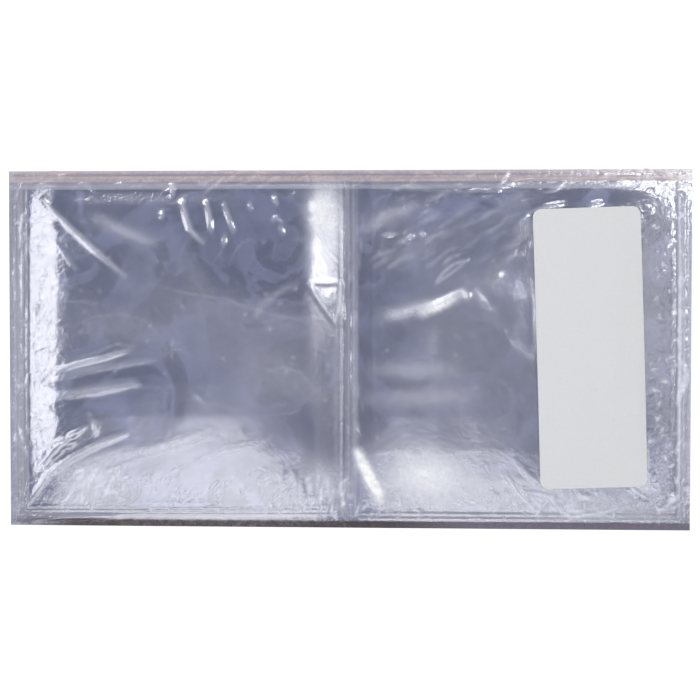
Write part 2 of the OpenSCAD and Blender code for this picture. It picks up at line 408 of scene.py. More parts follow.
FILM = make_material("polythene_film", bag_film)
TRAY_FILM = make_material("slack_polythene_film", slack_film)
SEAL = make_material("crimped_heat_seal", heat_seal)
BACKING = make_material("vinyl_backing_sheet", vinyl_sheet, "4A588F", "9CA6D8", 0.35, 0.25)
FRONT = make_material("vinyl_pocket_sheet", vinyl_sheet, "5A689F", "A4AEDC", 0.28, 0.2)
CREASE = make_material("vinyl_pressed_crease", vinyl_sheet, "A4A7C0", "BEC0D0", 0.55, 0.2)
WELD = make_material("vinyl_welded_rim", welded_rim)
STACK = make_material("stacked_vinyl", stacked_sheets)
PAPER = make_material("label_paper", label_paper)
ADHESIVE = make_material("acrylic_adhesive", label_glue)


# Form of the sheets: shares of the full rise, given over millimetres from the crease or centre
FILM_LEFT_SHARES = [
    (0, 0), (1.2, 0.05), (8.2, 0.52), (10.2, 0.615), (12, 0.66), (15, 0.73), (20, 0.82),
    (38, 1), (50, 0.94), (60, 0.84), (67.5, 0.7), (70.5, 0.6), (76.8, 0.06), (78, 0.02), (82, 0),
]
FILM_RIGHT_SHARES = [
    (0, 0), (3, 0.08), (9, 0.34), (14, 0.53), (22, 0.78), (32, 0.95), (40, 1), (55, 0.95),
    (64, 0.84), (70, 0.64), (76.5, 0.1), (78, 0.04), (82, 0),
]
FILM_ACROSS_SHARES = [
    (-43, 0), (-41, 0.02), (-38.6, 0.08), (-36, 0.24), (-31, 0.47), (-24, 0.7), (-16, 0.88),
    (-8, 0.98), (0, 1), (12, 0.96), (24, 0.82), (31, 0.62), (35, 0.38), (38, 0.12),
    (40, 0.03), (43, 0),
]
FLIP_ALONG_SHARES = [
    (6, 0), (9, 0.28), (14, 0.52), (22, 0.78), (38, 1), (58, 0.84), (67, 0.66), (71, 0.46),
    (75, 0.1), (77.5, 0),
]
FLIP_ACROSS_SHARES = [
    (-38.5, 0), (-37, 0.05), (-34, 0.2), (-29, 0.46), (-23, 0.68), (-16, 0.86), (-8, 0.98),
    (0, 1), (12, 0.96), (22, 0.82), (29, 0.62), (33, 0.38), (36, 0.12), (38.5, 0),
]


def eased(points, places):
    """Reads a curve through given points, with its corners rounded by a moving mean."""
    stations, shares = zip(*points)
    fine = np.linspace(stations[0], stations[-1], 820)
    kernel = np.hanning(31)
    raw = np.pad(np.interp(fine, stations, shares), 15, mode="edge")
    smooth = np.convolve(raw, kernel / kernel.sum(), mode="valid")
    smooth -= np.linspace(smooth[0] - shares[0], smooth[-1] - shares[-1], len(smooth))
    return np.interp(places, fine, smooth)


def film_rise(x, y):
    """How far the film swells above the rim, in millimetres."""
    along = np.where(
        x < 0, eased(FILM_LEFT_SHARES, np.abs(x)), eased(FILM_RIGHT_SHARES, np.abs(x))
    )
    return BULGE * along * eased(FILM_ACROSS_SHARES, y)


def flip_swell(x, y):
    """Share of a vinyl sheet's full rise, inside its weld."""
    inside = (np.abs(x) > MOUTH_X) & (np.abs(x) < BED_X) & (np.abs(y) < BED_Y)
    swell = eased(FLIP_ALONG_SHARES, np.abs(x)) * eased(FLIP_ACROSS_SHARES, y)
    return np.where(inside, swell, 0)


# Wrinkles: height, half width (or one for each side), then the path in pixels of the photograph
WRINKLES = [
    # broad folds that carry the film up to the rim
    (0.5, 2.6, (304, 181), (303, 216)),
    (0.4, 2.0, (51, 188), (49, 216)),
    # ridges along the crease and over the stack's edges
    (0.05, 0.25, (340, 180), (340, 515)),
    (0.08, 0.25, (352, 180), (352, 515)),
    (0.06, 0.25, (356, 180), (356, 515)),
    (0.02, 0.25, (375, 190), (375, 500)),
    (0.1, 0.3, (679.5, 182), (680.5, 350), (679.5, 515)),
    (0.06, 0.25, (684, 182), (684.5, 350), (684, 515)),
    (0.03, 0.25, (14.5, 182), (14.5, 515)),
    (0.04, 0.25, (21, 182), (21.5, 515)),
    (0.06, 0.25, (26, 186), (26, 508)),
    (0.06, 0.22, (20, 176), (345, 179)),
    (0.08, 0.22, (20, 183), (345, 186)),
    (0.1, 0.25, (350, 181), (366, 181), (483, 179)),
    (0.08, 0.25, (374, 187.6), (461, 191), (528, 190)),
    (0.06, 0.22, (490, 178), (680, 177)),
    (0.06, 0.22, (30, 507), (335, 507)),
    (0.08, 0.22, (30, 511), (335, 511)),
    (0.06, 0.22, (30, 515), (335, 515)),
    (0.06, 0.22, (360, 514), (680, 517)),
    (0.08, 0.22, (360, 519), (680, 521)),
    # upper left, long stretch folds from the corner
    (0.3, 0.5, (42, 200), (74, 231), (100, 254), (126, 276)),
    (0.15, 0.9, (100, 219), (126, 232), (154, 244)),
    (0.12, 0.4, (77, 181), (88, 186), (97, 194)),
    (0.12, 0.4, (52, 238), (66, 256), (79, 270)),
    (0.12, 0.4, (56, 287), (64, 291), (69, 295)),
    # upper left, short sharp tucks under the top edge
    (0.32, 0.45, (182, 202), (186, 216), (190, 229), (203, 243)),
    (0.3, 0.42, (206, 202), (210, 218), (211, 231)),
    (0.26, 0.4, (224, 205), (229, 218), (234, 232)),
    (0.22, 0.4, (225, 236), (224, 245)),
    (0.22, 0.4, (172, 182), (173, 197)),
    (0.2, 0.36, (163, 212), (162, 219)),
    (0.2, 0.36, (250, 204), (251, 210)),
    (0.22, 0.36, (274, 196), (277, 205)),
    (0.22, 0.36, (272, 221), (276, 217), (281, 222)),
    (0.2, 0.36, (280, 226), (283, 234)),
    # curl beside the crease
    (0.06, 0.4, (308, 283), (324, 283), (339, 283)),
    (0.1, 0.4, (308, 283), (321, 303), (335, 323)),
    (0.08, 0.4, (339, 283), (338, 303), (335, 323)),
    (0.1, 1.4, (326, 290), (333, 308)),
    (0.08, 0.7, (256, 316), (270, 300), (283, 290), (295, 285)),
    # left, folds that run in from the end
    (0.22, 0.45, (54, 372), (80, 364), (105, 358), (129, 350)),
    (0.12, 0.6, (60, 378), (95, 369), (157, 358)),
    (0.15, 0.6, (56, 396), (95, 392), (138, 383)),
    (0.2, 0.4, (50, 382), (55, 385), (55, 389)),
    (0.2, 0.4, (50, 406), (54, 407), (55, 411)),
    # lower left, crisp ladder of creases
    (0.25, 0.36, (38, 470), (56, 452), (70, 438), (85, 426)),
    (0.25, 0.36, (44, 468), (50, 460)),
    (0.25, 0.36, (52, 456), (60, 450)),
    (0.25, 0.36, (58, 448), (64, 445)),
    (0.25, 0.36, (58, 441), (66, 439)),
    (0.25, 0.36, (66, 446), (74, 442)),
    (0.25, 0.36, (70, 436), (76, 432)),
    (0.2, 0.5, (95, 421), (96, 433)),
    # lower left, fan of long folds from the corner
    (0.2, 0.5, (27, 503), (49, 473), (75, 456), (100, 443), (125, 434)),
    (0.04, 0.5, (55, 474), (90, 458), (134, 444)),
    (0.04, 0.8, (67, 475), (110, 458), (160, 447), (210, 430)),
    (0.03, 0.5, (72, 482), (130, 462), (175, 448), (216, 434)),
    (0.03, 0.7, (196, 462), (220, 452), (245, 446), (270, 440)),
    (0.2, 0.4, (32, 521), (60, 518), (118, 517)),
    # upper right
    (0.12, 1.0, (361, 231), (385, 217), (417, 205)),
    (0.25, 0.36, (383, 235), (397, 234)),
    (0.3, 0.4, (408, 238), (414, 235)),
    (0.3, 0.45, (421, 233), (425, 235)),
    (0.12, 0.5, (426, 240), (445, 231)),
    (0.2, 0.36, (437, 283), (443, 273), (454, 264), (467, 260)),
    (0.16, 0.36, (437, 283), (450, 274), (467, 261)),
    (0.82, (1.5, 6.2), (406, 323), (424, 315), (440, 308), (454, 301), (468, 293), (478, 286)),
    (0.2, 0.9, (388, 317), (408, 312), (426, 305)),
    (0.3, 0.45, (465, 293), (467, 297)),
    (0.12, 0.5, (494, 276), (501, 273)),
    (0.18, 0.36, (498, 190), (503, 178), (508, 171)),
    (0.14, 0.36, (498, 190), (515, 180), (530, 178)),
    (0.22, 0.36, (528, 213), (545, 207), (564, 203)),
    (0.25, 0.36, (590, 205), (602, 202)),
    (0.12, 0.36, (533, 294), (534, 350)),
    # lower right
    (0.04, 1.0, (358, 453), (366, 471), (373, 487), (380, 502)),
    (0.03, 0.6, (377, 453), (400, 450), (417, 456)),
    (0.05, 0.4, (514, 459), (527, 474), (541, 486)),
    (0.06, 0.4, (505, 475), (519, 495), (538, 514), (541, 508)),
    (0.06, 0.4, (532, 493), (549, 497), (562, 512), (572, 518), (600, 514), (618, 509)),
    (0.08, 0.5, (582, 499), (592, 497)),
    (0.08, 0.4, (568, 511), (582, 512)),
    (0.45, 0.7, (671, 504), (676, 498)),
    (0.18, 0.4, (628, 487), (640, 496), (650, 500)),
    # right end
    (0.24, 0.4, (681, 193), (682, 280), (681, 360), (679, 500)),
    (0.25, 0.5, (686, 368), (690, 380), (684, 392), (678, 402)),
    (0.2, 0.4, (690, 200), (690, 330), (688, 500)),
    # left end
    (0.08, 0.36, (24, 212), (20, 228), (20, 246)),
    (0.07, 0.36, (24, 250), (21, 275), (23, 300)),
    (0.1, 0.36, (17, 420), (22, 436), (27, 455)),
]


def scattered(seed, rows):
    """Short lines at seeded places, in pixels of the photograph.

    A row says how many, between which pixels across and down, length in pixels, heading and its
    spread in degrees, height or share, and half width in millimetres.
    """
    rng = np.random.RandomState(seed)
    made = []
    for count, x_range, y_range, length, heading, spread, height, width in rows:
        for _ in range(count):
            px, py = rng.uniform(*x_range), rng.uniform(*y_range)
            angle = math.radians(heading + spread * rng.uniform(-1, 1))
            reach = rng.uniform(*length) / 2
            bow = rng.uniform(-0.25, 0.25) * reach
            step = (math.cos(angle) * reach, -math.sin(angle) * reach)
            side = (math.sin(angle) * bow, math.cos(angle) * bow)
            made.append((
                rng.uniform(*height), rng.uniform(*width),
                (px - step[0], py - step[1]), (px + side[0], py + side[1]),
                (px + step[0], py + step[1]),
            ))
    return made


WRINKLES += scattered(7, [
    (50, (12, 27), (185, 510), (3, 14), 90, 70, (0.02, 0.06), (0.3, 0.42)),
    (40, (30, 60), (215, 480), (4, 12), 35, 40, (0.03, 0.08), (0.3, 0.4)),
    (60, (650, 690), (195, 515), (3, 10), 60, 80, (0.05, 0.16), (0.3, 0.42)),
    (36, (60, 345), (478, 512), (4, 12), 50, 40, (0.02, 0.05), (0.32, 0.45)),
    (24, (280, 350), (476, 514), (8, 20), 88, 10, (0.03, 0.08), (0.3, 0.4)),
    (40, (375, 670), (488, 522), (4, 14), 130, 40, (0.02, 0.06), (0.3, 0.42)),
    (50, (15, 685), (171, 190), (5, 26), 10, 30, (0.04, 0.1), (0.3, 0.4)),
    (26, (375, 530), (190, 260), (6, 22), 32, 15, (0.03, 0.08), (0.35, 0.5)),
    (20, (340, 362), (180, 520), (6, 20), 88, 14, (0.04, 0.1), (0.3, 0.4)),
    (50, (60, 640), (195, 470), (3, 10), 40, 90, (0.01, 0.04), (0.3, 0.5)),
])


# Milky marks of stretched film, many of them also painted highlights on bright folds: share, half
# width, then the path in pixels of the photograph
MILK_AND_HIGHLIGHT_MARKS = [
    # upper left
    (0.1, 1.4, (89, 220), (120, 229), (156, 242)),
    (0.06, 0.6, (254, 318), (263, 302), (279, 291), (299, 283)),
    (0.07, 3.0, (126, 282), (156, 294), (196, 301), (237, 308), (290, 322), (340, 335)),
    (0.09, 6.0, (150, 322), (230, 345), (300, 372), (330, 385)),
    (0.06, 3.0, (62, 300), (110, 320), (150, 326)),
    (0.07, 2.5, (270, 366), (300, 385), (330, 402)),
    (0.07, 1.6, (190, 262), (196, 276), (205, 290)),
    (0.05, 4.0, (235, 390), (262, 372), (290, 352)),
    (0.04, 4.0, (120, 250), (140, 256), (200, 262)),
    # left, hair lines where the sheets below start to cling
    (0.08, 0.24, (150, 284), (186, 293), (230, 300), (264, 312), (302, 321), (338, 328)),
    (0.06, 0.24, (228, 268), (234, 254), (243, 242), (252, 239), (258, 246), (252, 258)),
    (0.06, 0.24, (214, 262), (222, 252), (226, 240), (224, 230)),
    (0.05, 0.24, (180, 266), (182, 250), (190, 238), (200, 232), (206, 240)),
    (0.06, 0.24, (262, 322), (288, 317), (318, 318), (336, 312)),
    (0.05, 0.24, (66, 330), (92, 318), (124, 314), (150, 322), (160, 336)),
    (0.1, 0.24, (62, 362), (92, 354), (118, 344), (136, 346)),
    (0.06, 0.24, (268, 372), (284, 366), (302, 374), (316, 390), (326, 396)),
    (0.05, 0.24, (150, 408), (184, 398), (220, 404), (262, 416), (300, 412)),
    # right, the same
    (0.05, 0.24, (384, 236), (380, 252), (388, 266), (404, 270), (416, 262)),
    (0.06, 0.24, (494, 380), (506, 384), (514, 398), (510, 414), (498, 420)),
    # left
    (0.16, 0.8, (54, 372), (103, 361), (132, 350)),
    (0.14, 0.8, (56, 394), (105, 387), (138, 383)),
    (0.05, 3.0, (60, 340), (120, 330), (170, 330)),
    # lower left, fan from the corner, milky folds with painted highlights along them
    (0.18, 0.6, (48, 473), (78, 455), (107, 439), (134, 430)),
    (0.18, 0.6, (56, 472), (94, 455), (134, 444)),
    (0.3, 0.7, (67, 475), (111, 457), (160, 446), (210, 429)),
    (0.28, 0.5, (125, 462), (174, 446), (216, 433)),
    (0.2, 0.4, (140, 452), (180, 441), (212, 430)),
    (0.28, 0.5, (196, 462), (223, 448), (270, 439)),
    (0.14, 0.4, (206, 462), (234, 452), (262, 446)),
    (0.12, 2.6, (120, 462), (170, 448), (230, 440), (290, 446)),
    (0.35, 3.0, (72, 492), (96, 486), (116, 482)),
    (0.3, 1.6, (74, 484), (92, 476), (112, 472)),
    (0.2, 0.8, (92, 419), (96, 426), (98, 434)),
    (0.25, 1.4, (322, 470), (328, 486), (336, 504)),
    # lower left, small tucks in the bright slope, white as painted highlights
    (0.6, 0.4, (168, 480), (173, 472), (181, 467)),
    (0.5, 0.28, (178, 470), (177, 479)),
    (0.45, 0.28, (146, 473), (150, 483)),
    (0.5, 0.26, (250, 475), (256, 468), (268, 470), (270, 476), (261, 482), (261, 492)),
    (0.4, 0.26, (262, 474), (259, 480)),
    (0.45, 0.26, (268, 504), (279, 491), (291, 483), (291, 477), (284, 483)),
    (0.45, 0.26, (179, 511), (184, 501), (200, 493)),
    (0.06, 4.0, (190, 418), (240, 405), (300, 398)),
    (0.34, 3.6, (300, 462), (320, 478), (332, 502)),
    (0.22, 1.2, (17, 190), (17, 350), (18, 512)),
    # lower right, long loops
    (0.4, 0.25, (514, 459), (527, 474), (541, 486)),
    (0.25, 0.25, (497, 462), (508, 478), (520, 486)),
    (0.5, 0.25, (505, 475), (519, 495), (538, 514), (541, 508), (530, 496)),
    (0.5, 0.25, (532, 493), (549, 497), (562, 512), (572, 518), (600, 514), (618, 509)),
    (0.4, 0.25, (628, 485), (646, 499)),
    (0.3, 0.3, (585, 488), (600, 497), (612, 500)),
    # broad fold at the back beside the crease, painted highlight where the fold shines
    (0.3, 2.2, (321, 191), (321, 212), (328, 234)),
    (0.5, 1.5, (331, 191), (334, 215), (336, 240)),
    (0.35, 1.4, (330, 236), (335, 256), (338, 272)),
    # curl beside the crease
    (0.3, 1.5, (324, 288), (333, 310)),
    (0.3, 0.26, (308, 283), (323, 282), (339, 283)),
    (0.5, 0.28, (308, 283), (318, 298), (335, 322)),
    (0.5, 0.32, (339, 283), (340, 303), (335, 322)),
    (0.4, 0.25, (317, 290), (324, 300), (331, 303), (333, 291)),
    (0.3, 0.25, (315, 307), (323, 318), (330, 327)),
    # right, pale bands and diagonal streaks
    (0.12, 2.2, (363, 231), (394, 213), (419, 203)),
    (0.08, 1.6, (474, 233), (501, 211), (519, 202), (541, 197)),
    (0.08, 2.0, (467, 293), (494, 273), (510, 258), (528, 249)),
    (0.05, 2.5, (380, 262), (420, 244), (470, 220)),
    (0.22, 1.6, (375, 370), (400, 370), (452, 371)),
    (0.2, 1.6, (373, 399), (400, 398), (466, 396)),
    (0.06, 0.5, (462, 399), (461, 414), (474, 430)),
    # painted highlights: the tail and dots of the sharpest ridge, and the top of the stroke beside the
    # crease
    (0.25, 1.2, (383, 316), (405, 312), (425, 304)),
    (0.3, 0.8, (422, 308), (436, 302)),
    (0.7, 0.5, (463, 293), (467, 297)),
    (0.6, 0.4, (357, 453), (361, 464)),
    # painted highlights: the pale zone at the bottom and the spot at the lower right
    (0.4, 4.5, (388, 476), (425, 478), (470, 482)),
    (0.3, 3.0, (480, 488), (530, 500), (600, 510), (660, 510)),
    (0.7, 0.7, (671, 503), (675, 497)),
    (0.55, 0.4, (579, 498), (595, 501)),
    (0.5, 0.35, (568, 511), (582, 512)),
    # painted highlights along the bright lines at the right end, on milky folds there
    (0.55, 0.26, (679.5, 180), (680.8, 350), (679.5, 518)),
    (0.3, 0.24, (684.5, 186), (685, 350), (684.5, 515)),
    (0.45, 0.5, (682, 360), (688, 372), (683, 390), (679, 400)),
    (0.1, 3.0, (377, 452), (400, 450), (420, 455)),
    (0.06, 4.0, (655, 240), (668, 330), (665, 450)),
    (0.08, 7.0, (410, 240), (450, 290), (530, 350)),
    (0.08, 7.0, (410, 330), (450, 360), (530, 400)),
    (0.06, 6.0, (410, 430), (450, 430), (534, 440)),
    # along the crease
    (0.3, 0.25, (341, 184), (341.5, 350), (341, 516)),
    (0.18, 0.24, (348.5, 178), (349, 516)),
    (0.24, 0.24, (353.5, 182), (354, 516)),
    (0.12, 0.24, (357, 190), (357, 505)),
    (0.12, 0.5, (337, 300), (336, 400), (337, 500)),
]
MILK_AND_HIGHLIGHT_MARKS += scattered(23, [
    (40, (12, 27), (185, 510), (3, 12), 80, 60, (0.1, 0.35), (0.2, 0.26)),
    (60, (28, 62), (215, 480), (4, 12), 20, 35, (0.1, 0.4), (0.22, 0.3)),
    (75, (644, 690), (192, 518), (3, 9), 60, 90, (0.25, 0.75), (0.2, 0.28)),
    (90, (60, 345), (478, 512), (4, 12), 50, 30, (0.2, 0.5), (0.22, 0.3)),
    (60, (70, 130), (468, 504), (4, 12), 55, 30, (0.2, 0.5), (0.22, 0.3)),
    (30, (275, 350), (478, 514), (7, 18), 86, 8, (0.15, 0.4), (0.22, 0.3)),
    (70, (375, 670), (485, 522), (4, 14), 130, 35, (0.1, 0.4), (0.22, 0.3)),
    (24, (355, 400), (503, 520), (4, 12), 55, 25, (0.1, 0.35), (0.22, 0.3)),
    (40, (375, 530), (192, 262), (6, 26), 32, 8, (0.05, 0.16), (0.3, 0.5)),
    (40, (60, 340), (195, 470), (1, 4), 40, 90, (0.1, 0.3), (0.22, 0.26)),
    (30, (375, 534), (195, 460), (1, 4), 40, 90, (0.1, 0.3), (0.22, 0.26)),
    (40, (15, 685), (171, 190), (5, 26), 10, 30, (0.1, 0.3), (0.22, 0.3)),
])

# Painted highlights, white as film stretched until it is milky: beside the crease, on the pale zone
# below it, on the broad fold at the back and along the sharpest ridge: as the marks above
PAINTED_HIGHLIGHT_MARKS = [
    (1.3, 0.9, (358, 453), (365, 469), (372, 483), (378.5, 494), (380, 501)),
    (0.5, 4.0, (390, 474), (425, 477), (466, 481)),
    (0.6, 2.4, (323, 188), (322, 212), (329, 240)),
    (0.8, 0.75, (422, 314), (436, 308), (448, 302), (459, 295)),
]

# Rims of the film, folded over the stack: milky share across them, in millimetres from the middle,
# which carries a painted warm reflection at the back and painted dark shade at the front
BACK_RIM_REFLECTION_SHARES = [
    (38.4, 0), (38.7, 0.18), (39.5, 0.2), (39.8, 0), (40.1, 0), (40.3, 0.4), (41.6, 0.45),
    (41.8, 0.1), (42.1, 0.1), (42.3, 0.5), (43, 0.5),
]
FRONT_RIM_SHADE_SHARES = [(38.5, 0), (41.2, 0), (41.6, 0.8), (43, 0.85)]


def wrinkle_lift(x, y, wrinkles):
    """Height that the wrinkles add at each place, in millimetres, or the share that marks add."""
    lift = np.zeros_like(x)
    for height, width, *path in wrinkles:
        places = np.array([on_film(*spot) for spot in path])
        left_width, right_width = width if isinstance(width, tuple) else (width, width)
        room = 4 * max(left_width, right_width)
        near = np.flatnonzero(
            (x > places[:, 0].min() - room) & (x < places[:, 0].max() + room)
            & (y > places[:, 1].min() - room) & (y < places[:, 1].max() + room)
        )
        if not len(near):
            continue
        spots = np.stack([x[near], y[near]], 1)
        lengths = np.linalg.norm(np.diff(places, axis=0), axis=1)
        total, run = lengths.sum(), 0.0
        nearest = np.full(len(near), 1e9)
        passed, to_left = np.zeros(len(near)), np.zeros(len(near))
        for start, end, length in zip(places[:-1], places[1:], lengths):
            along = np.clip((spots - start) @ (end - start) / length ** 2, 0, 1)
            off = spots - start - along[:, None] * (end - start)
            gap = (off ** 2).sum(1)
            closer = gap < nearest
            nearest[closer] = gap[closer]
            passed[closer] = (run + along[closer] * length) / total
            turned = (end[0] - start[0]) * off[:, 1] - (end[1] - start[1]) * off[:, 0]
            share = 0.5 + 0.5 * turned / (length * np.sqrt(gap) + 1e-9)
            to_left[closer] = share[closer]
            run += length
        # Full in the middle of the path and 0.39 of that at its ends
        taper = np.sin(np.pi * (0.1 + 0.8 * passed)) ** 0.8
        reach = right_width + (left_width - right_width) * to_left
        lift[near] += height * taper * np.exp(-nearest / (2 * reach ** 2))
    return lift


def label_frame(x, y):
    """Place on the label, along its width and length from its middle."""
    cos, sin = math.cos(LABEL_TILT), math.sin(LABEL_TILT)
    dx, dy = x - LABEL_X, y - LABEL_Y
    return dx * cos + dy * sin, dy * cos - dx * sin


def off_label(x, y):
    """0 under the label, which holds the film flat, to 1 a millimetre outside it."""
    across, along = label_frame(x, y)
    outside = np.maximum(np.abs(across) - LABEL_W / 2, np.abs(along) - LABEL_L / 2)
    return np.clip(outside - 0.1, 0, 1)


def slow_waves(x, y):
    """Broad swell of stretched film, which dies out towards the rim and the crease."""
    fade = np.clip((BAG_X - 6 - np.abs(x)) / 12, 0, 1) * np.clip((BAG_Y - 6 - np.abs(y)) / 12, 0, 1)
    fade = fade * np.clip((np.abs(x) - 4) / 8, 0, 1)
    wave = (
        0.02 * np.sin(0.31 * x + 0.23 * y + 0.9)
        + 0.015 * np.sin(-0.18 * x + 0.37 * y + 2.1)
        + 0.01 * np.sin(0.52 * x - 0.34 * y + 4.0)
    )
    return fade * wave


def film_bed(x, y):
    """Upper surface of the bag's top film without its wrinkles, in millimetres."""
    return FILM_TOP_Z + film_rise(x, y) + slow_waves(x, y)


def film_height(x, y):
    """Upper surface of the bag's top film, in millimetres, flat at the rim and the crease."""
    edge = np.clip((BAG_X - np.abs(x)) / 1.2, 0, 1) * np.clip((BAG_Y - np.abs(y)) / 1.2, 0, 1)
    crease = np.clip(np.abs(x) / 0.8, 0, 1)
    return film_bed(x, y) + wrinkle_lift(x, y, WRINKLES) * edge * crease * off_label(x, y)


def milk_and_painted_light_share(x, y):
    """Milky share of the film, along its wrinkles and stretch marks and at its rims, with painted
    highlights in the marks, a painted reflection at the back rim and painted shade at the front rim.
    """
    # The narrow wrinkles are milky too, the more the higher they are, which also paints a highlight
    # along each fold
    lines = [
        (min(0.5, 1.3 * height), max(0.8 * width, 0.26), *path)
        for height, width, *path in WRINKLES if not isinstance(width, tuple) and width < 1.2
    ]
    haze = wrinkle_lift(x, y, lines) + wrinkle_lift(x, y, MILK_AND_HIGHLIGHT_MARKS + PAINTED_HIGHLIGHT_MARKS)
    back_rim_reflection = np.interp(y, *zip(*BACK_RIM_REFLECTION_SHARES))
    front_rim_shade = np.interp(-y, *zip(*FRONT_RIM_SHADE_SHARES)) * np.clip((x + 82) / 18, 0.15, 1)
    return np.clip(haze * np.clip((41.2 + y) / 0.3, 0.2, 1) + back_rim_reflection + front_rim_shade, 0, 0.95)


def crinkle(x, y):
    """Share of the fine creases: strong at the ends and the lower side, weak in the middle."""
    ends = np.where(x < 0, 0.3, 0.35) * np.clip((np.abs(x) - 62) / 12, 0, 1)
    lower = 0.1 * np.clip((-y - 20) / 14, 0, 1)
    upper = np.where(x < 0, 0.08, 0.12) * np.clip((y - 28) / 10, 0, 1)
    middle = 0.2 * np.clip((3 - np.abs(x)) / 2, 0, 1)
    return 0.08 + 0.9 * np.maximum.reduce([ends, lower, upper, middle])


def crease_place(x, y, side):
    """Where the pattern of fine creases is read: they run out from the middle of a half."""
    out, up = side * x - POCKET_MIDDLE, y
    radius, angle = np.hypot(out, up), np.abs(np.arctan2(up, out))
    return np.stack([radius / 7, 35 * angle, 5 * side + y / 12], 1)


def milk_and_painted_light_colour(x, y):
    """Colour of the milky film: white under the painted highlights, a painted warm reflection at the
    back rim, painted dark brown shade along the front rim.
    """
    # White where highlights are painted
    white = np.clip(wrinkle_lift(x, y, PAINTED_HIGHLIGHT_MARKS), 0, 1)[:, None]
    tone = (1 - white) * np.array(colour("E2E4F2")) + white
    # Painted reflection: a warm band along the back rim
    back = np.clip((y - 39.9) / 0.3, 0, 1)[:, None]
    tone = tone * (1 - back) + back * np.array(colour("DACDCF"))
    # Painted shade: dark brown along the front rim, greyer towards the right end
    front = np.clip((-y - 41.0) / 0.2, 0, 1)[:, None]
    right = np.clip((x - 10) / 20, 0, 1)[:, None]
    dark = np.array(colour("3A2A30")) * (1 - right) + right * np.array(colour("6C6478"))
    return tone * (1 - front) + front * dark


def add_attribute(piece, name, kind, values):
    """Gives a piece's points values that its material reads."""
    layer = piece.data.attributes.new(name, kind, "POINT")
    field = {"FLOAT": "value", "FLOAT_VECTOR": "vector", "FLOAT_COLOR": "color"}[kind]
    layer.data.foreach_set(field, values.ravel())


# Bag: top film, one piece over each half
def model_top_film(name, side, body, node):
    # The grid's lines are closer where the film is folded finely, near the crease and the rims
    columns = joined(even_steps(0, 8, 0.27), even_steps(8, 68, 0.45), even_steps(68, BAG_X, 0.33))
    columns = -columns[::-1] if side < 0 else columns
    rows = joined(
        even_steps(-BAG_Y, -36, 0.26), even_steps(-36, -29, 0.34), even_steps(-29, 29, 0.44),
        even_steps(29, 36, 0.36), even_steps(36, BAG_Y, 0.26),
    )
    film = add_sheet(name, columns, rows)
    points = points_of(film)
    x, y = points[:, 0], points[:, 1]
    points[:, 2] = film_height(x, y)
    set_points(film, points)
    add_attribute(film, "milk_and_painted_light_share", "FLOAT", milk_and_painted_light_share(x, y))
    add_attribute(film, "milk_and_painted_light_colour", "FLOAT_COLOR", milk_and_painted_light_colour(x, y))
    add_attribute(film, "crinkle", "FLOAT", crinkle(x, y))
    add_attribute(film, "crease_place", "FLOAT_VECTOR", crease_place(x, y, side))
    thicken(film, FILM_T)
    finish(film, body, "bag_film", FILM, node)


model_top_film("bag_film_over_left", -1, STILL, "bag_top_film_left")
model_top_film("bag_film_over_right", 1, TURNING, "bag_top_film_right")


# Bag: bottom and walls
def wall_ripple(run, z, seed, length):
    """How far the wall's film stands out, from its place along the wall and its height."""
    rough = np.random.RandomState(seed)
    out = np.zeros_like(run)
    for _ in range(WALL_RIPPLES):
        middle, lean = rough.uniform(-length, length), rough.uniform(-0.5, 0.5)
        width, height = rough.uniform(0.6, 1.6), rough.uniform(0.08, 0.35)
        low, reach = rough.uniform(-10, 24), rough.uniform(6, 20)
        # Each ripple leans about a point near the middle of the wall's height
        off = run - middle - lean * (z - 17)
        out += height * np.exp(-off ** 2 / (2 * width ** 2)) * np.exp(
            -((z - low - reach / 2) / (0.6 * reach)) ** 2
        )
    fade = np.clip(z / 2.0, 0, 1) * np.clip((RIM_Z - z) / 2.0, 0, 1)
    fade = fade * np.clip((length - np.abs(run)) / 3.0, 0, 1)
    return (out + WALL_PUFF * np.sin(np.pi * z / RIM_Z)) * fade


def model_tray():
    # Lines about 1.2 mm apart, which bottom and walls share at their seams
    long_lines = np.linspace(-BAG_X, BAG_X, 141)
    short_lines = np.linspace(-BAG_Y, BAG_Y, 75)
    up = np.linspace(0, RIM_Z, 31)
    bottom = add_sheet("bag_floor", long_lines, short_lines)
    points = points_of(bottom)
    points[:, 1] *= -1
    set_points(bottom, points)
    parts = [bottom]
    for name, lines, axis, sign in (
        ("wall_front", long_lines, 1, -1), ("wall_back", long_lines, 1, 1),
        ("wall_left", short_lines, 0, -1), ("wall_right", short_lines, 0, 1),
    ):
        wall = add_sheet(name, lines, up)
        flat = points_of(wall)
        run, z = flat[:, 0], flat[:, 1]
        out = wall_ripple(run, z, 31 + len(parts), lines[-1])
        if axis == 0:
            # Flat where the end seal lies on it
            out *= np.clip((np.abs(z - RIM_Z / 2) - 2.6) / 3, 0, 1)
        points = np.zeros_like(flat)
        points[:, axis] = sign * ((BAG_X, BAG_Y)[axis] + out)
        points[:, 1 - axis] = run * (sign if axis == 0 else -sign)
        points[:, 2] = z
        set_points(wall, points)
        parts.append(wall)
    pick(bottom)
    for piece in parts:
        piece.select_set(True)
    bpy.ops.object.join()
    tray = bpy.context.active_object
    tray.name = tray.data.name = "bag_film_tray"
    bpy.ops.object.mode_set(mode="EDIT")
    bpy.ops.mesh.select_all(action="SELECT")
    bpy.ops.mesh.remove_doubles(threshold=0.02 * MM)
    bpy.ops.mesh.normals_make_consistent(inside=False)
    bpy.ops.object.mode_set(mode="OBJECT")
    thicken(tray, FILM_T)
    finish(tray, STILL, "bag_film", TRAY_FILM, "bag_lower_film")


model_tray()


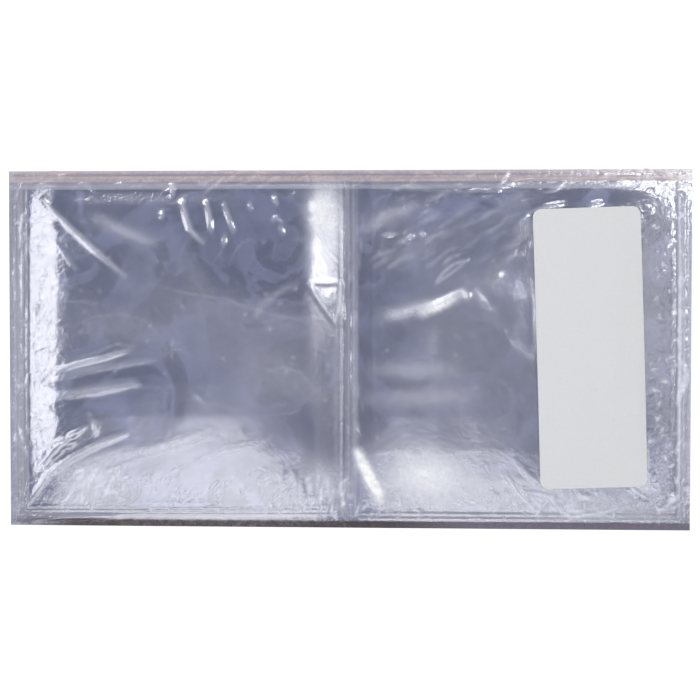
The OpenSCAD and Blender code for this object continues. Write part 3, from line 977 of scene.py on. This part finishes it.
# Bag: crimped heat seals across the ends
def model_seal(name, node, sign):
    low, high = node_box(node)
    seal = add_sheet(name, even_steps(low[1], high[1], 0.25), even_steps(low[2], high[2], 0.5))
    flat = points_of(seal)
    run, z = flat[:, 0], flat[:, 1]
    rib = RIB_H * (0.5 + 0.5 * np.sin(2 * np.pi * run / RIB_PITCH))
    rib *= np.clip(np.minimum(z - low[2], high[2] - z) / 0.5, 0, 1)
    set_points(seal, np.stack([sign * (BAG_X + SEAL_T + rib), run * sign, z], 1))
    thicken(seal, SEAL_T)
    finish(seal, STILL, "bag_seal", SEAL, node)


model_seal("end_seal_left", "bag_end_seal_left", -1)
model_seal("end_seal_right", "bag_end_seal_right", 1)


# Label and its adhesive
def model_label(name, bottom, thickness, inset, slot, material, node):
    """Sheet with round corners that lies on the film, its bottom so far above it."""
    half_w, half_l, radius = LABEL_W / 2 - inset, LABEL_L / 2 - inset, LABEL_R - inset
    sheet = add_sheet(name, even_steps(-half_w, half_w, 0.5), even_steps(-half_l, half_l, 0.6))
    points = points_of(sheet)
    x, y = points[:, 0].copy(), points[:, 1].copy()
    # The square corner's lines are pulled in to the round one
    over_x = (np.abs(x) - (half_w - radius)) / radius
    over_y = (np.abs(y) - (half_l - radius)) / radius
    corner = (over_x > 0) & (over_y > 0)
    reach = np.hypot(over_x, over_y)
    pull = np.where(corner, np.maximum(over_x, over_y) / np.where(reach > 0, reach, 1), 1)
    x = np.where(corner, np.sign(x) * (half_w - radius + radius * over_x * pull), x)
    y = np.where(corner, np.sign(y) * (half_l - radius + radius * over_y * pull), y)
    cos, sin = math.cos(LABEL_TILT), math.sin(LABEL_TILT)
    points[:, 0] = LABEL_X + x * cos - y * sin
    points[:, 1] = LABEL_Y + x * sin + y * cos
    points[:, 2] = film_bed(points[:, 0], points[:, 1]) + bottom + thickness
    set_points(sheet, points)
    thicken(sheet, thickness)
    finish(sheet, TURNING, slot, material, node)


model_label(
    "label_adhesive_layer", HAIR, ADHESIVE_T, ADHESIVE_INSET, "label_adhesive", ADHESIVE,
    "label_adhesive",
)
model_label("label_sheet", HAIR + ADHESIVE_T, LABEL_T, 0, "label_paper", PAPER, "label_paper")


# Upper flips: domed sheets, welded rims and pressed creases
def flip_level(number):
    """Height of the bottom of a flip, in millimetres."""
    return node_box(f"flip_{number}_right_weld")[0][2]


def model_flip_sheet(number, side, half, part, body):
    """Backing or pocket front of one half of a flip."""
    backing = part == "backing"
    level, mouth_end = flip_level(number), MOUTH_X + WELD_W
    if backing:
        inner = CREASE_W / 2 + (FOLD_GAP if side > 0 else 0)
        columns = np.concatenate([even_steps(inner, MOUTH_X, 1.4), joined(
            even_steps(MOUTH_X + HAIR, mouth_end, 0.75), even_steps(mouth_end, BED_X, 1.1)
        )])
        rise, top = BACKING_RISE[number], level + SHEET_T
    else:
        columns = joined(
            even_steps(MOUTH_X + HAIR, mouth_end, 0.5), even_steps(mouth_end, BED_X, 1.1)
        )
        rise, top = BACKING_RISE[number] + POCKET_RISE, level + FLIP_T
    columns = -columns[::-1] if side < 0 else columns
    sheet = add_sheet(f"flip_{number}_{half}_{part}_sheet", columns, even_steps(-BED_Y, BED_Y, 1.1))
    points = points_of(sheet)
    from_crease = np.abs(points[:, 0])
    # As wide as the flip between the two pockets, and as the inside of the weld beyond
    points[:, 1] *= np.interp(from_crease, [MOUTH_X, MOUTH_X + HAIR], [FLIP_Y / BED_Y, 1])
    x, y = points[:, 0], points[:, 1]
    points[:, 2] = top + rise * flip_swell(x, y)
    if not backing:
        # The mouth of a pocket stands open a little
        lip = np.exp(-((from_crease - MOUTH_X) / LIP_W) ** 2)
        points[:, 2] += LIP_H * lip * eased(FLIP_ACROSS_SHARES, np.clip(y, -BED_Y, BED_Y))
    set_points(sheet, points)
    thicken(sheet, SHEET_T)
    if backing:
        finish(sheet, body, "vinyl_backing", BACKING, f"flip_{number}_{half}_backing")
    else:
        finish(sheet, body, "vinyl_front", FRONT, f"flip_{number}_{half}_pocket_front")


def model_weld(side):
    """Welded rim round three sides of a pocket of the lowest upper flip, with lines pressed in."""
    deselect_all()
    middle = side * (MOUTH_X + FLIP_X) / 2
    top = flip_level(LOWEST_TOP_FLIP) + FLIP_T
    bpy.ops.mesh.primitive_plane_add(size=1, location=(middle * MM, 0, top * MM))
    weld = bpy.context.active_object
    weld.scale = ((FLIP_X - MOUTH_X) * MM, 2 * FLIP_Y * MM, 1)
    bpy.ops.object.transform_apply(location=True, rotation=True, scale=True)
    bpy.ops.object.mode_set(mode="EDIT")
    bpy.ops.mesh.select_all(action="SELECT")
    bpy.ops.mesh.inset(thickness=WELD_W * MM, use_even_offset=True)
    bpy.ops.mesh.delete(type="FACE")
    delete_faces(weld, lambda face: abs(face.center.x) / MM < MOUTH_X + WELD_W)
    bpy.ops.object.mode_set(mode="OBJECT")
    for point in weld.data.vertices:
        point.select = bool(abs(abs(point.co.x) / MM - MOUTH_X - WELD_W) < HAIR)
    bpy.ops.object.mode_set(mode="EDIT")
    bpy.ops.mesh.select_mode(type="VERT")
    bpy.ops.transform.translate(value=(-side * WELD_W * MM, 0, 0))
    bpy.ops.mesh.select_all(action="SELECT")
    for step, shift in WELD_LINES:
        bpy.ops.mesh.inset(thickness=step * MM, use_even_offset=True, use_boundary=True)
        bpy.ops.transform.translate(value=(0, 0, shift * MM))
    bpy.ops.object.mode_set(mode="OBJECT")
    thicken(weld, FLIP_T)
    return weld


def model_crease():
    """Strip of the lowest upper flip that is pressed thin, with a fine groove along its middle."""
    low, high = node_box(f"flip_{LOWEST_TOP_FLIP}_fold_crease")
    strip = add_sheet(
        "pressed_crease", np.linspace(low[0], high[0], 9), even_steps(low[1], high[1], 1.5)
    )
    points = points_of(strip)
    groove = 0.5 + 0.5 * np.cos(np.pi * np.clip(points[:, 0] / GROOVE_W, -1, 1))
    points[:, 2] = high[2] - GROOVE_H * groove
    set_points(strip, points)
    thicken(strip, CREASE_SHEET_T)
    return strip


# Meshes that the upper flips share before each gets a copy of its own
patterns = {}


def repeated(part, number, model, *values):
    """A piece that is alike on the upper flips: modelled once, then copied with its own mesh."""
    if part in patterns:
        mesh = patterns[part].copy()
        rise = flip_level(number) - flip_level(LOWEST_TOP_FLIP)
        mesh.transform(Matrix.Translation((0, 0, rise * MM)))
        piece = bpy.data.objects.new(part, mesh)
        bpy.context.collection.objects.link(piece)
    else:
        piece = model(*values)
        patterns[part] = piece.data.copy()
    piece.name = piece.data.name = f"flip_{number}_{part}"
    return piece


for number in TOP_FLIPS:
    crease = repeated("pressed_crease", number, model_crease)
    finish(crease, STILL, "vinyl_crease", CREASE, f"flip_{number}_fold_crease")
    for side, half, body in ((-1, "left", STILL), (1, "right", f"flip_{number}_right_half")):
        model_flip_sheet(number, side, half, "backing", body)
        model_flip_sheet(number, side, half, "front", body)
        weld = repeated(f"{half}_welded_rim", number, model_weld, side)
        finish(weld, body, "vinyl_weld", WELD, f"flip_{number}_{half}_weld")
for mesh in patterns.values():
    bpy.data.meshes.remove(mesh)

# Lower flips keep their solids and get the stack's finish
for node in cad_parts.values():
    if not node.hide_render:
        for slot in node.material_slots:
            slot.material = STACK


# Stage: a pale sweep all round that is white to look at, a dim sky and nine lamps
def white_sweep(add, _):
    path = add("LightPath")
    seen = path.outputs["Is Camera Ray"]
    for kind in ("Is Glossy Ray", "Is Transmission Ray"):
        seen = add("Math", {0: seen, 1: path.outputs[kind]}, operation="MAXIMUM")
    strength = add("Math", {0: seen, 1: 0.8}, operation="MULTIPLY")
    glow = add("Emission", {"Color": (1, 1, 1, 1), "Strength": strength})
    matt = add("BsdfDiffuse", {"Color": (0.4, 0.4, 0.4, 1)})
    return add("AddShader", {0: glow, 1: matt})


def model_sweep():
    deselect_all()
    radius, height, below = 2.4, 2.0, 0.05 * MM
    bpy.ops.mesh.primitive_cylinder_add(
        vertices=96, radius=radius, depth=height, location=(0, 0, height / 2 - below)
    )
    sweep = bpy.context.active_object
    sweep.name = "white_sweep"
    bpy.ops.object.transform_apply(location=True)
    delete_faces(sweep, lambda face: face.normal.z > 0.5)
    bpy.ops.mesh.select_all(action="SELECT")
    bpy.ops.mesh.flip_normals()
    bpy.ops.object.mode_set(mode="OBJECT")
    apply_modifier(
        sweep, "BEVEL", width=0.5, segments=10, limit_method="ANGLE", angle_limit=math.radians(60)
    )
    sweep.data.materials.append(make_material("white_sweep", white_sweep))


model_sweep()

sky = bpy.data.worlds.new("dim_sky")
scene.world = sky
sky.use_nodes = True
sky.node_tree.nodes["Background"].inputs["Color"].default_value = (0.93, 0.95, 1, 1)
sky.node_tree.nodes["Background"].inputs["Strength"].default_value = 0.45

# Lamps lie flat and face down: place and size in metres, brightness of their face, turn in degrees
LAMP_Z = 1.0
for name, shape, place, size, radiance, turn in (
    ("lamp_left", "RECTANGLE", (-0.82, 0.05), (0.5, 0.8), 3.4, -20),
    ("lamp_left_low", "ELLIPSE", (-0.86, -0.54), (0.5, 0.24), 8, 0),
    ("lamp_front_left", "RECTANGLE", (-0.37, -0.46), (0.3, 0.34), 1.8, 25),
    ("lamp_front", "RECTANGLE", (-0.055, -0.45), (0.5, 0.34), 2.4, -30),
    ("lamp_front_right", "RECTANGLE", (0.39, -0.32), (0.26, 0.3), 2.4, 0),
    ("lamp_back_right", "ELLIPSE", (0.275, 0.18), (0.17, 0.3), 8, 10),
    ("lamp_back_left", "ELLIPSE", (-0.47, 0.73), (0.26, 0.32), 9, 0),
    ("lamp_back", "RECTANGLE", (0.1, 0.97), (1.1, 0.26), 5, 0),
    ("lamp_right", "RECTANGLE", (0.76, 0.05), (0.5, 0.5), 0.9, 0),
):
    lamp = bpy.data.lights.new(name, "AREA")
    lamp.shape = shape
    lamp.size, lamp.size_y = size
    filled = 1.0 if shape == "RECTANGLE" else math.pi / 4
    lamp.energy = radiance * math.pi * filled * size[0] * size[1]
    holder = bpy.data.objects.new(name, lamp)
    holder.location = (*place, LAMP_Z)
    holder.rotation_euler = (0, 0, math.radians(turn))
    holder.visible_camera = False
    scene.collection.objects.link(holder)
